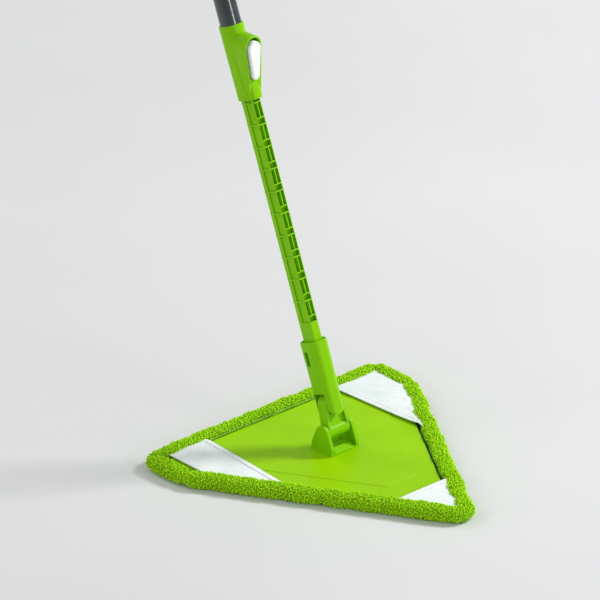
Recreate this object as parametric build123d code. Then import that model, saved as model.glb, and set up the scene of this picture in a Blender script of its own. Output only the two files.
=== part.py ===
from build123d import *
import math
import os

# A flat triangular mop: a chenille pad with corner pockets, a plastic base plate, a hinge that tilts
# and sways, and a telescopic pole with a ladder rod and a rocker lock.
# Millimetres, +Z up. The origin is on the floor, under the tilt hinge. X runs along the long back
# edge of the head and +Y points at that edge. The pole is drawn upright, measured along its own
# axis from the tilt hinge, and place_pole() then leans it to its rest position.

# Head outline
HALF_WIDTH = 160.3
BACK_Y = 113.5
SIDE_CUT_Y = 50.0
FRONT_Y = -194.2
FRONT_HALF = 9.75

# Pad
RIM_WIDTH = 20.0
RIM_HEIGHT = 16.0
RIM_CORNER_R = 7.5
RIM_TOP_R = 7.0
RIM_FOOT_R = 5.0
RIM_INNER_R = 3.0
SOLE_HEIGHT = 5.6

# Corner pockets
POCKET_BOTTOM = 10.7
POCKET_THICKNESS = 1.6
POCKET_CORNER_R = 8.0
HEM_BACK_X = 85.5
HEM_FRONT_X = 91.5
FRONT_HEM_Y = -126.0

# Base plate
PLATE_GAP = 0.8
PLATE_BOTTOM = 5.8
PLATE_TOP = 10.0
PLATE_SKIN = 2.2
PLATE_SKIRT = 2.0
PLATE_CORNER_R = 7.2
PLATE_EDGE_R = 0.6
PANEL_INSET = 42.0
PANEL_FRONT_Y = -97.0
PANEL_RISE = 0.5
RIB_WIDTH = 1.6
RIB_PITCH = 42.0

# Hinge bracket
HINGE_Z = 31.0
EAR_GAP = 29.0
EAR_WIDTH = 4.0
EAR_TOP_R = 8.5
EAR_FOOT_DEPTH = 30.0
EAR_SHOULDER = 7.0
FOOT_THICKNESS = 2.4
LIP_TOP = 17.0
LIP_INNER_Y = 6.0
LIP_NOTCH = 2.5
LIP_R = 2.0
SCREW_X = 8.0
SCREW_Y = 9.5
SCREW_DIAMETER = 3.0
SCREW_TIP = 14.0
SCREW_HEAD = 5.6
SCREW_HEAD_HEIGHT = 1.7

# Cross joint
BARREL_DIAMETER = 15.2
BARREL_LENGTH = 28.0
PIN_DIAMETER = 5.0
PIN_CLEARANCE = 0.05
PIN_SEAT = 2.6
BUSH_DIAMETER = 8.0
BUSH_LENGTH = 8.0
SWAY_S = 26.5
TONGUE_TOP_R = 10.8
TONGUE_FOOT_HALF = 13.4
TONGUE_FRONT = 7.35
TONGUE_BACK = 5.2
TONGUE_BORDER = 2.4
TONGUE_RECESS = 3.2
TONGUE_BOSS = 12.0

# Pole socket
SOCKET_FOOT = (21.2, 23.6)
SOCKET_MOUTH = (22.4, 25.6)
SOCKET_R = 7.5
SOCKET_TOP = 93.3
SLOT_HALF = 7.7
SLOT_TOP = 39.3
MOUTH_WALL = 1.8
MOUTH_DEPTH = 2.5
WINDOW_BOTTOM = 68.6
WINDOW_TOP = 84.1
WINDOW_WIDTH = 5.0
WINDOW_Y = 2.6
SWAY_HEAD = 8.0
SWAY_HEAD_HEIGHT = 1.6

# Ladder rod
ROD = (12.4, 17.6)
ROD_R = 2.6
ROD_BOTTOM = 45.0
ROD_TOP = 560.0
ROD_FIT = 0.15
LADDER_START = 113.0
LADDER_PITCH = 22.9
SHORT_CELL = 5.6
RUNG = 1.3
CELL_WIDTH = 8.8
CELL_RIB = 1.2
LONG_DEPTH = 5.7
SHORT_DEPTH = 5.0
CHANNEL_Y = (-7.4, 1.6)
CHANNEL_DEPTH = 1.3
RING_PROUD = 0.3
NUB_REACH = 2.0
GUIDE_DIAMETER = 20.2
GUIDE_LENGTH = 16.0

# Outer tube and grip
TUBE_DIAMETER = 22.0
TUBE_BORE = 20.6
TUBE_BOTTOM = 396.0
TUBE_TOP = 1168.0
GRIP_BOTTOM = 1052.0
GRIP_DIAMETER = 27.0
GRIP_GROOVES = 9
GRIP_GROOVE_PITCH = 10.0
GRIP_GROOVE_R = 1.6
CAP_FLANGE = 7.0
CAP_PLUG = 18.0
CAP_TAB_HALF = 10.0
CAP_TAB_THICKNESS = 9.0
HANG_HOLE = 10.0
HANG_RISE = 16.0

# Lock housing
HOUSING_BOTTOM = 345.2
HOUSING_TOP = 421.9
HOUSING_FOOT = (20.0, 23.0)
HOUSING_HEAD = (24.0, 24.4)
HOUSING_FOOT_R = 8.0
HOUSING_HEAD_R = 11.0
HOUSING_BORE = (13.6, 18.8)
HOUSING_BORE_R = 3.1
COWL_WALL = 2.0
COWL_DROP = 3.2
COWL_DEPTH = 28.0
COWL_EDGE_R = 1.2
CHIN_DEPTH = 13.6
CHIN_TOP = 360.5
RECESS_FLOOR = 12.8
RECESS_GAP = 1.8
RECESS_TOP_GAP = 1.4
GUIDE_BUSH_WALL = 1.2
GUIDE_BUSH_LENGTH = 12.0
GUIDE_BUSH_INSET = 1.5
TUBE_SCREW_S = 409.0

# Lock lever
LEVER_FOOT = (363.9, 18.2)
LEVER_TOP = (402.7, 30.4)
LEVER_THICKNESS = 5.6
LEVER_TOP_R = 7.5
LEVER_FOOT_R = 4.4
LEVER_EDGE_R = 1.6
PIVOT = (383.0, 15.8)
PIVOT_DIAMETER = 2.5
PIVOT_HALF = 8.8
CHEEK_X = 4.6
CHEEK_WIDTH = 2.4
CHEEK_R = 2.6
PAWL_S = 371.0
PAWL_LENGTH = 5.0
PAWL_WIDTH = 7.0
PAWL_TIP = 9.5
PAWL_SLOT = (8.6, 10.6)
SPRING_WIRE = 0.6
SPRING_RADIUS = 2.0
SPRING_TURNS = 4

# Rest position of the pole
LEAN_BACK = 18.7
LEAN_LEFT = 2.4


def place_swivel(shape):
    """Move a shape drawn about the upright hinge axis to its leaning rest position."""
    return Pos(0, 0, HINGE_Z) * Rot(-LEAN_BACK, 0, 0) * shape


def place_pole(shape):
    """Move a shape of the upright pole to its leaning rest position."""
    return place_swivel(Pos(0, 0, SWAY_S) * Rot(0, -LEAN_LEFT, 0) * Pos(0, 0, -SWAY_S) * shape)


def solid_at(face, bottom, top):
    """Extrude a face drawn on the XY plane between two heights."""
    return Pos(0, 0, bottom) * extrude(face, top - bottom)


def block(x_range, y_range, z_range):
    """A box given by its lowest and highest coordinates."""
    sizes = [high - low for low, high in (x_range, y_range, z_range)]
    centre = [(high + low) / 2 for low, high in (x_range, y_range, z_range)]
    return Pos(*centre) * Box(*sizes)


def across(radius, x_range, y=0.0, z=0.0):
    """A cylinder along X."""
    low, high = x_range
    return Pos((low + high) / 2, y, z) * Rot(0, 90, 0) * Cylinder(radius, high - low)


def along_y(radius, y_range, x=0.0, z=0.0):
    """A cylinder along Y."""
    low, high = y_range
    return Pos(x, (low + high) / 2, z) * Rot(90, 0, 0) * Cylinder(radius, high - low)


def upright(radius, z_range, x=0.0, y=0.0):
    """A cylinder along Z."""
    low, high = z_range
    return Pos(x, y, (low + high) / 2) * Cylinder(radius, high - low)


def rounded(size, radius, grow=0.0):
    """A rounded rectangle, grown on every side."""
    return RectangleRounded(size[0] + 2 * grow, size[1] + 2 * grow, radius + grow)


def head_points(inset, front_y=FRONT_Y):
    """Corners of the head outline moved inward, from the back left corner round to the front."""
    run_x = HALF_WIDTH - FRONT_HALF
    run_y = SIDE_CUT_Y - FRONT_Y
    slant = math.hypot(run_x, run_y)
    normal_x = run_y / slant
    normal_y = -run_x / slant
    reach = normal_x * HALF_WIDTH + normal_y * SIDE_CUT_Y - inset
    side_x = HALF_WIDTH - inset
    back_y = BACK_Y - inset
    cut_y = (reach - normal_x * side_x) / normal_y
    tip_y = max(front_y + inset, reach / normal_y)
    tip_half = (reach - normal_y * tip_y) / normal_x
    right = [(side_x, back_y), (side_x, cut_y)]
    if tip_half > 1:
        right.append((tip_half, tip_y))
    left = [(-x, y) for x, y in reversed(right)]
    middle = [] if tip_half > 1 else [(0, tip_y)]
    return right + middle + left


def head_face(inset, corner_r, front_y=FRONT_Y):
    """The head outline moved inward, with rounded corners."""
    face = make_face(Polyline(*head_points(inset, front_y), close=True))
    return fillet(face.vertices(), corner_r)


def pad_rim():
    ring = head_face(0, RIM_CORNER_R) - head_face(RIM_WIDTH, POCKET_CORNER_R)
    rim = solid_at(ring, 0, RIM_HEIGHT)
    rim = fillet(rim.faces().sort_by(Axis.Z)[-1].outer_wire().edges(), RIM_TOP_R)
    rim = fillet(rim.faces().sort_by(Axis.Z)[0].outer_wire().edges(), RIM_FOOT_R)
    return fillet(rim.faces().sort_by(Axis.Z)[-1].inner_wires()[0].edges(), RIM_INNER_R)


def pad_sole():
    return solid_at(head_face(RIM_WIDTH, POCKET_CORNER_R), 0, SOLE_HEIGHT)


def pocket(cutter):
    """A flat fabric corner: the part of the head outline that the cutter face covers."""
    face = head_face(RIM_WIDTH, POCKET_CORNER_R) & cutter
    return solid_at(face, POCKET_BOTTOM, POCKET_BOTTOM + POCKET_THICKNESS)


def side_cutter(side):
    """Everything outside one side pocket's hem."""
    points = [
        (side * HEM_BACK_X, BACK_Y),
        (side * HEM_FRONT_X, SIDE_CUT_Y - HALF_WIDTH / 2),
        (side * HALF_WIDTH, SIDE_CUT_Y - HALF_WIDTH / 2),
        (side * HALF_WIDTH, BACK_Y),
    ]
    return make_face(Polyline(*points, close=True))


def front_cutter():
    """Everything ahead of the front pocket's hem."""
    depth = FRONT_HEM_Y - FRONT_Y
    return Pos(0, FRONT_HEM_Y - depth / 2) * Rectangle(2 * HALF_WIDTH, depth)


def screw_places():
    return [(x, y) for x in (-SCREW_X, SCREW_X) for y in (-SCREW_Y, SCREW_Y)]


def plate_ribs():
    """Stiffening ribs and screw bosses under the plate's skin."""
    skin_bottom = PLATE_TOP - PLATE_SKIN
    half = RIB_WIDTH / 2
    ribs = []
    for step in range(-3, 4):
        x = step * RIB_PITCH + RIB_PITCH / 2
        ribs.append(block((x - half, x + half), (FRONT_Y, BACK_Y), (PLATE_BOTTOM, skin_bottom)))
    for step in range(-4, 3):
        y = step * RIB_PITCH + RIB_PITCH / 2
        ribs.append(block((-HALF_WIDTH, HALF_WIDTH), (y - half, y + half), (PLATE_BOTTOM, skin_bottom)))
    return ribs


def base_plate():
    skin_bottom = PLATE_TOP - PLATE_SKIN
    inset = RIM_WIDTH + PLATE_GAP
    plate = solid_at(head_face(inset, PLATE_CORNER_R), PLATE_BOTTOM, PLATE_TOP)
    plate = fillet(plate.faces().sort_by(Axis.Z)[-1].edges(), PLATE_EDGE_R)
    inside = head_face(inset + PLATE_SKIRT, PLATE_CORNER_R - PLATE_SKIRT)
    plate -= solid_at(inside, PLATE_BOTTOM, skin_bottom) - plate_ribs()
    panel_front = PANEL_FRONT_Y - PANEL_INSET
    panel = solid_at(head_face(PANEL_INSET, 3.0, panel_front), PLATE_TOP, PLATE_TOP + PANEL_RISE)
    panel = chamfer(panel.faces().sort_by(Axis.Z)[-1].edges(), PANEL_RISE * 0.8)
    plate += panel
    for x, y in screw_places():
        plate -= upright(SCREW_DIAMETER / 2 + 0.1, (0, PLATE_TOP + 1), x, y)
    return plate


def hinge_bracket():
    foot_z = PLATE_TOP + PANEL_RISE
    depth = EAR_FOOT_DEPTH / 2
    outer = EAR_GAP / 2 + EAR_WIDTH
    crown = Pos(0, HINGE_Z) * Circle(EAR_TOP_R)
    skirt = Pos(0, foot_z + EAR_SHOULDER / 2) * Rectangle(EAR_FOOT_DEPTH, EAR_SHOULDER)
    profile = make_hull(crown.edges() + skirt.edges())
    ears = []
    for side in (-1, 1):
        middle = side * (outer - EAR_WIDTH / 2)
        ear = Plane.YZ.offset(middle) * extrude(profile, EAR_WIDTH / 2, both=True)
        outer_face = ear.faces().sort_by(Axis.X)[-1 if side > 0 else 0]
        ears.append(fillet(outer_face.edges(), 0.8))
    foot = block((-outer, outer), (-depth, depth), (foot_z, foot_z + FOOT_THICKNESS))
    bracket = foot + ears
    for side in (-1, 1):
        ramp = [
            (side * depth, foot_z),
            (side * depth, foot_z + FOOT_THICKNESS),
            (side * LIP_INNER_Y, LIP_TOP),
            (side * LIP_INNER_Y, foot_z),
        ]
        ramp_face = make_face(Polyline(*ramp, close=True))
        lip = Plane.YZ * extrude(ramp_face, EAR_GAP / 2 - LIP_NOTCH, both=True)
        ridge = [edge for edge in lip.edges().filter_by(Axis.X) if edge.center().Z > LIP_TOP - 0.1]
        bracket += fillet(ridge, LIP_R)
    reach = EAR_GAP / 2 + PIN_SEAT
    bracket -= across(PIN_DIAMETER / 2, (-reach, reach), 0, HINGE_Z)
    for x, y in screw_places():
        bracket -= upright(SCREW_DIAMETER / 2, (foot_z - 1, SCREW_TIP), x, y)
    return bracket


def bracket_screws():
    """Four pan-head screws, up through the plate into the bracket's foot."""
    skin_bottom = PLATE_TOP - PLATE_SKIN
    screws = []
    for x, y in screw_places():
        head = upright(SCREW_HEAD / 2, (skin_bottom - SCREW_HEAD_HEIGHT, skin_bottom), x, y)
        head = fillet(head.faces().sort_by(Axis.Z)[0].edges(), 0.6)
        screws.append(head + upright(SCREW_DIAMETER / 2, (skin_bottom, SCREW_TIP), x, y))
    return Compound(children=screws)


def tilt_pin():
    reach = EAR_GAP / 2 + PIN_SEAT
    return across(PIN_DIAMETER / 2, (-reach, reach), 0, HINGE_Z)


def tongue_face(inset):
    """The tongue seen from the front: wide at the barrel, round at the sway pin."""
    foot = Pos(0, 1.5) * Rectangle(2 * (TONGUE_FOOT_HALF - inset), 3)
    crown = Pos(0, SWAY_S) * Circle(TONGUE_TOP_R - inset)
    return make_hull(crown.edges() + foot.edges())


def cross_joint():
    """A barrel on the tilt pin with an upright tongue for the sway pin."""
    tongue = Plane.XZ.offset(-TONGUE_BACK) * extrude(tongue_face(0), TONGUE_BACK + TONGUE_FRONT)
    recess = extrude(tongue_face(TONGUE_BORDER), TONGUE_RECESS)
    recess = Plane.XZ.offset(TONGUE_FRONT - TONGUE_RECESS) * recess
    tongue -= recess - along_y(TONGUE_BOSS / 2, (-TONGUE_FRONT, TONGUE_FRONT), 0, SWAY_S)
    tongue += along_y(TONGUE_BOSS / 2, (0, TONGUE_FRONT), 0, SWAY_S)
    barrel = across(BARREL_DIAMETER / 2, (-BARREL_LENGTH / 2, BARREL_LENGTH / 2))
    barrel = chamfer(barrel.edges().filter_by(GeomType.CIRCLE), 0.5)
    joint = tongue + barrel
    joint -= across(PIN_DIAMETER / 2 + 4 * PIN_CLEARANCE, (-BARREL_LENGTH, BARREL_LENGTH))
    for side in (-1, 1):
        end = side * BARREL_LENGTH / 2
        joint -= across(BUSH_DIAMETER / 2, sorted((end, end - side * BUSH_LENGTH)))
    joint -= along_y(PIN_DIAMETER / 2 + PIN_CLEARANCE, (-2 * TONGUE_FRONT, 2 * TONGUE_FRONT), 0, SWAY_S)
    return place_swivel(joint)


def barrel_bushes():
    """Two plain bushes, pressed into the ends of the barrel."""
    bushes = []
    for side in (-1, 1):
        end = side * BARREL_LENGTH / 2
        span = sorted((end, end - side * BUSH_LENGTH))
        bushes.append(across(BUSH_DIAMETER / 2, span) - across(PIN_DIAMETER / 2 + PIN_CLEARANCE, span))
    return place_swivel(Compound(children=bushes))


def pole_socket():
    ear_r = SOCKET_FOOT[0] / 2
    ear_end = SWAY_S - ear_r
    foot = Pos(0, 0, ear_end) * rounded(SOCKET_FOOT, SOCKET_R)
    mouth = Pos(0, 0, SOCKET_TOP) * rounded(SOCKET_MOUTH, SOCKET_R + 0.5)
    socket = loft([foot, mouth])
    socket = chamfer(socket.faces().sort_by(Axis.Z)[-1].edges(), 0.6)
    keep = along_y(ear_r, (-TUBE_DIAMETER, TUBE_DIAMETER), 0, SWAY_S)
    keep += block((-20, 20), (-20, 20), (SWAY_S, SOCKET_TOP))
    socket = socket & keep
    socket -= block((-20, 20), (-SLOT_HALF, SLOT_HALF), (0, SLOT_TOP))
    socket -= solid_at(rounded(ROD, ROD_R, ROD_FIT), ROD_BOTTOM, SOCKET_TOP)
    lip = rounded(SOCKET_MOUTH, SOCKET_R + 0.5, -MOUTH_WALL)
    socket -= solid_at(lip, SOCKET_TOP - MOUTH_DEPTH, SOCKET_TOP)
    half = WINDOW_WIDTH / 2
    window = block((-20, 20), (WINDOW_Y - half, WINDOW_Y + half), (WINDOW_BOTTOM, WINDOW_TOP))
    socket -= fillet(window.edges().filter_by(Axis.X), half * 0.8)
    blind = SOCKET_FOOT[1] / 2 - 1.4
    back = SOCKET_FOOT[1] / 2
    socket -= along_y(PIN_DIAMETER / 2, (-blind, back), 0, SWAY_S)
    socket -= along_y(SWAY_HEAD / 2, (back - SWAY_HEAD_HEIGHT, back + 2), 0, SWAY_S)
    return place_pole(socket)


def sway_pin():
    blind = SOCKET_FOOT[1] / 2 - 1.4
    back = SOCKET_FOOT[1] / 2
    shoulder = back - SWAY_HEAD_HEIGHT
    pin = along_y(PIN_DIAMETER / 2, (-blind, shoulder), 0, SWAY_S)
    head = along_y(SWAY_HEAD / 2 - 0.1, (shoulder, back + 0.4), 0, SWAY_S)
    return place_pole(pin + fillet(head.faces().sort_by(Axis.Y)[-1].edges(), 0.8))


def ladder_cells(start, side):
    """Cutters for one pitch of the ladder on one face: a shallow short cell and two deep slots."""
    face = side * ROD[1] / 2
    half = CELL_WIDTH / 2
    outside = face + side
    short_y = sorted((outside, face - side * SHORT_DEPTH))
    long_y = sorted((outside, face - side * LONG_DEPTH))
    long_z = (start + SHORT_CELL + RUNG, start + LADDER_PITCH - RUNG)
    return [
        block((-half, half), short_y, (start, start + SHORT_CELL)),
        block((-half, -CELL_RIB / 2), long_y, long_z),
        block((CELL_RIB / 2, half), long_y, long_z),
    ]


def ladder_rod():
    rod = solid_at(rounded(ROD, ROD_R), ROD_BOTTOM, ROD_TOP)
    pitches = int((ROD_TOP - 6 - LADDER_START) / LADDER_PITCH)
    ladder_top = LADDER_START + pitches * LADDER_PITCH
    cutters = []
    for side in (-1, 1):
        bed = side * (ROD[0] / 2 - CHANNEL_DEPTH)
        cutters.append(block(sorted((bed, side * ROD[0])), CHANNEL_Y, (LADDER_START, ladder_top)))
    for index in range(pitches):
        start = LADDER_START + index * LADDER_PITCH
        cutters += ladder_cells(start, -1) + ladder_cells(start, 1)
    rod -= cutters
    rings = []
    for index in range(1, pitches + 1):
        top = LADDER_START + index * LADDER_PITCH
        rings.append(solid_at(rounded(ROD, ROD_R, RING_PROUD), top - RUNG, top))
    rod += rings
    nub_half = WINDOW_WIDTH / 2 - 0.5
    nub = block(
        (-ROD[0] / 2 - NUB_REACH, ROD[0] / 2 + NUB_REACH),
        (WINDOW_Y - nub_half, WINDOW_Y + nub_half),
        (WINDOW_BOTTOM + 1.5, WINDOW_TOP - 1.5),
    )
    rod += chamfer(nub.edges().filter_by(Axis.Z), 0.6)
    rod -= upright(1.2, (ROD_TOP - 14, ROD_TOP + 1))
    return place_pole(rod)


def rod_guide():
    """A slide plug on the top of the rod, which runs in the tube's bore."""
    guide = upright(GUIDE_DIAMETER / 2, (ROD_TOP, ROD_TOP + GUIDE_LENGTH))
    guide = chamfer(guide.edges().filter_by(GeomType.CIRCLE), 1.0)
    guide -= upright(GUIDE_DIAMETER / 2 - 2, (ROD_TOP + 4, ROD_TOP + GUIDE_LENGTH))
    guide -= upright(1.6, (ROD_TOP - 1, ROD_TOP + 5))
    return place_pole(guide)


def rod_guide_screw():
    shaft = upright(1.2, (ROD_TOP - 13, ROD_TOP + 4))
    head = upright(2.8, (ROD_TOP + 4, ROD_TOP + 6))
    return place_pole(shaft + fillet(head.faces().sort_by(Axis.Z)[-1].edges(), 0.8))


def outer_tube():
    tube = upright(TUBE_DIAMETER / 2, (TUBE_BOTTOM, TUBE_TOP))
    tube -= upright(TUBE_BORE / 2, (TUBE_BOTTOM, TUBE_TOP))
    tube -= along_y(1.2, (0, TUBE_DIAMETER), 0, TUBE_SCREW_S)
    return place_pole(tube)


def lever_plane():
    """The lever's outer face: its origin is at the foot, its X axis runs up the lever."""
    foot_s, foot_d = LEVER_FOOT
    top_s, top_d = LEVER_TOP
    lean = math.atan((top_d - foot_d) / (top_s - foot_s))
    up = (0, -math.sin(lean), math.cos(lean))
    outward = (0, -math.cos(lean), -math.sin(lean))
    return Plane(origin=(0, -foot_d, foot_s), x_dir=up, z_dir=outward)


def lever_outline(grow, rise=0.0, drop=0.0):
    """A teardrop up the X axis of the lever's plane, made longer at the top or the foot if asked."""
    length = math.dist(LEVER_FOOT, LEVER_TOP)
    top = Pos(length - LEVER_TOP_R + rise, 0) * Circle(LEVER_TOP_R + grow)
    foot = Pos(LEVER_FOOT_R - drop, 0) * Circle(LEVER_FOOT_R + grow)
    return make_hull(top.edges() + foot.edges())


def cowl():
    """The raised wall round the lever, which runs down to the foot of the housing."""
    drop = LEVER_FOOT[0] - HOUSING_BOTTOM
    outline = lever_outline(RECESS_GAP + COWL_WALL, RECESS_TOP_GAP, drop)
    wall = lever_plane() * Pos(0, 0, -COWL_DROP) * extrude(outline, -COWL_DEPTH)
    outward = Axis((0, 0, 0), lever_plane().z_dir)
    wall = fillet(wall.faces().sort_by(outward)[-1].edges(), COWL_EDGE_R)
    width = 2 * (LEVER_FOOT_R + RECESS_GAP + COWL_WALL)
    chin = solid_at(rounded((width, 2 * CHIN_DEPTH), width / 2 - 2), HOUSING_BOTTOM, CHIN_TOP)
    front_half = block((-20, 20), (-40, 0), (HOUSING_BOTTOM, HOUSING_TOP))
    return (wall & front_half) + (chin & front_half)


def lock_housing():
    foot = Pos(0, 0, HOUSING_BOTTOM) * rounded(HOUSING_FOOT, HOUSING_FOOT_R)
    head = Pos(0, 0, HOUSING_TOP) * rounded(HOUSING_HEAD, HOUSING_HEAD_R)
    housing = loft([foot, head])
    housing = chamfer(housing.faces().sort_by(Axis.Z)[-1].edges(), 0.5)
    housing += cowl()
    recess = lever_plane() * extrude(lever_outline(RECESS_GAP, RECESS_TOP_GAP), 30, both=True)
    recess = recess & block((-20, 20), (-40, -RECESS_FLOOR), (HOUSING_BOTTOM, HOUSING_TOP))
    housing -= recess
    housing -= solid_at(rounded(HOUSING_BORE, HOUSING_BORE_R), HOUSING_BOTTOM, TUBE_BOTTOM)
    housing -= upright(TUBE_DIAMETER / 2 + 0.05, (TUBE_BOTTOM, HOUSING_TOP))
    bush_top = HOUSING_BOTTOM + GUIDE_BUSH_INSET + GUIDE_BUSH_LENGTH
    bush_seat = rounded(HOUSING_BORE, HOUSING_BORE_R, GUIDE_BUSH_WALL)
    housing -= solid_at(bush_seat, HOUSING_BOTTOM, bush_top)
    slot_x, slot_s = PAWL_SLOT
    housing -= block(
        (-slot_x / 2, slot_x / 2),
        (-RECESS_FLOOR - 1, -HOUSING_BORE[1] / 2 + 1),
        (PAWL_S - slot_s / 2, PAWL_S + slot_s / 2),
    )
    housing -= across(PIVOT_DIAMETER / 2, (-PIVOT_HALF, PIVOT_HALF), -PIVOT[1], PIVOT[0])
    housing -= along_y(1.5, (0, HOUSING_HEAD[1]), 0, TUBE_SCREW_S)
    return place_pole(housing)


def guide_bush():
    """A low-friction liner between the rod and the housing's lower end."""
    bottom = HOUSING_BOTTOM + GUIDE_BUSH_INSET
    outer = rounded(HOUSING_BORE, HOUSING_BORE_R, GUIDE_BUSH_WALL)
    ring = outer - rounded(HOUSING_BORE, HOUSING_BORE_R)
    return place_pole(solid_at(ring, bottom, bottom + GUIDE_BUSH_LENGTH))


def tube_screw():
    """The screw that ties the housing to the tube, in the back."""
    back = HOUSING_HEAD[1] / 2
    shaft = along_y(1.2, (TUBE_BORE / 2, back), 0, TUBE_SCREW_S)
    head = along_y(2.8, (back, back + 1.4), 0, TUBE_SCREW_S)
    return place_pole(shaft + fillet(head.faces().sort_by(Axis.Y)[-1].edges(), 0.7))


def lever_pin():
    return place_pole(across(PIVOT_DIAMETER / 2, (-PIVOT_HALF, PIVOT_HALF), -PIVOT[1], PIVOT[0]))


def lever_spring():
    """A torsion spring round the lever's pin."""
    length = SPRING_TURNS * SPRING_WIRE * 1.5
    coil = Helix(length / SPRING_TURNS, length, SPRING_RADIUS)
    wire = sweep(Plane(origin=coil @ 0, z_dir=coil % 0) * Circle(SPRING_WIRE / 2), path=coil)
    coiled = Pos(-length / 2, -PIVOT[1], PIVOT[0]) * Rot(0, 90, 0) * wire
    return place_pole(coiled)


def lock_lever():
    """A rocker: the wide top is pressed in, and the pawl under the narrow foot moves out."""
    plane = lever_plane()
    paddle = plane * extrude(lever_outline(0), -LEVER_THICKNESS)
    top_face = paddle.faces().sort_by(Axis((0, 0, 0), plane.z_dir))[-1]
    paddle = fillet(top_face.edges(), LEVER_EDGE_R)
    pivot_s, pivot_d = PIVOT
    for side in (-1, 1):
        span = sorted((side * (CHEEK_X - CHEEK_WIDTH / 2), side * (CHEEK_X + CHEEK_WIDTH / 2)))
        cheek = across(CHEEK_R, span, -pivot_d, pivot_s)
        cheek += block(span, (-pivot_d - CHEEK_R, -pivot_d), (pivot_s - CHEEK_R, pivot_s + CHEEK_R))
        paddle += cheek
    half = PAWL_WIDTH / 2
    low = PAWL_S - PAWL_LENGTH / 2
    pawl = block((-half, half), (-LEVER_FOOT[1] + 1, -PAWL_TIP), (low, low + PAWL_LENGTH))
    paddle += chamfer(pawl.faces().sort_by(Axis.Y)[-1].edges().filter_by(Axis.X), 0.8)
    paddle -= across(PIVOT_DIAMETER / 2 + PIN_CLEARANCE, (-PIVOT_HALF, PIVOT_HALF), -pivot_d, pivot_s)
    return place_pole(paddle)


def hand_grip():
    grip = upright(GRIP_DIAMETER / 2, (GRIP_BOTTOM, TUBE_TOP))
    grip = fillet(grip.faces().sort_by(Axis.Z)[0].edges(), 2.0)
    middle = (GRIP_BOTTOM + TUBE_TOP) / 2
    for index in range(GRIP_GROOVES):
        height = middle + (index - (GRIP_GROOVES - 1) / 2) * GRIP_GROOVE_PITCH
        grip -= Pos(0, 0, height) * Torus(GRIP_DIAMETER / 2 + 0.8, GRIP_GROOVE_R)
    return place_pole(grip - upright(TUBE_DIAMETER / 2, (GRIP_BOTTOM, TUBE_TOP)))


def grip_cap():
    """The end cap: a plug in the tube, a flange, and a tab with a hole to hang the mop by."""
    cap = upright(GRIP_DIAMETER / 2, (TUBE_TOP, TUBE_TOP + CAP_FLANGE))
    cap = fillet(cap.faces().sort_by(Axis.Z)[-1].edges(), 2.5)
    half = CAP_TAB_THICKNESS / 2
    eye = TUBE_TOP + HANG_RISE
    tab = block((-CAP_TAB_HALF, CAP_TAB_HALF), (-half, half), (TUBE_TOP + 1, eye))
    tab += along_y(CAP_TAB_HALF, (-half, half), 0, eye)
    cap += chamfer(tab.faces().filter_by(Axis.Y).edges(), 1.0)
    cap += upright(TUBE_BORE / 2, (TUBE_TOP - CAP_PLUG, TUBE_TOP + 1))
    cap -= upright(TUBE_BORE / 2 - 1.6, (TUBE_TOP - CAP_PLUG, TUBE_TOP - 1))
    cap -= along_y(HANG_HOLE / 2, (-GRIP_DIAMETER, GRIP_DIAMETER), 0, eye)
    return place_pole(cap)


NODES = {
    "pad_sole": pad_sole,
    "pad_rim": pad_rim,
    "pocket_left": lambda: pocket(side_cutter(-1)),
    "pocket_right": lambda: pocket(side_cutter(1)),
    "pocket_front": lambda: pocket(front_cutter()),
    "base_plate": base_plate,
    "hinge_bracket": hinge_bracket,
    "bracket_screws": bracket_screws,
    "tilt_pin": tilt_pin,
    "cross_joint": cross_joint,
    "barrel_bushes": barrel_bushes,
    "pole_socket": pole_socket,
    "sway_pin": sway_pin,
    "ladder_rod": ladder_rod,
    "rod_guide": rod_guide,
    "rod_guide_screw": rod_guide_screw,
    "outer_tube": outer_tube,
    "lock_housing": lock_housing,
    "guide_bush": guide_bush,
    "tube_screw": tube_screw,
    "lever_pin": lever_pin,
    "lever_spring": lever_spring,
    "lock_lever": lock_lever,
    "hand_grip": hand_grip,
    "grip_cap": grip_cap,
}

os.makedirs("parts", exist_ok=True)
for name, make in NODES.items():
    export_step(make(), f"parts/{name}.step")
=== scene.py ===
import math

import bpy
import numpy as np
from mathutils import Matrix, Vector


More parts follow.
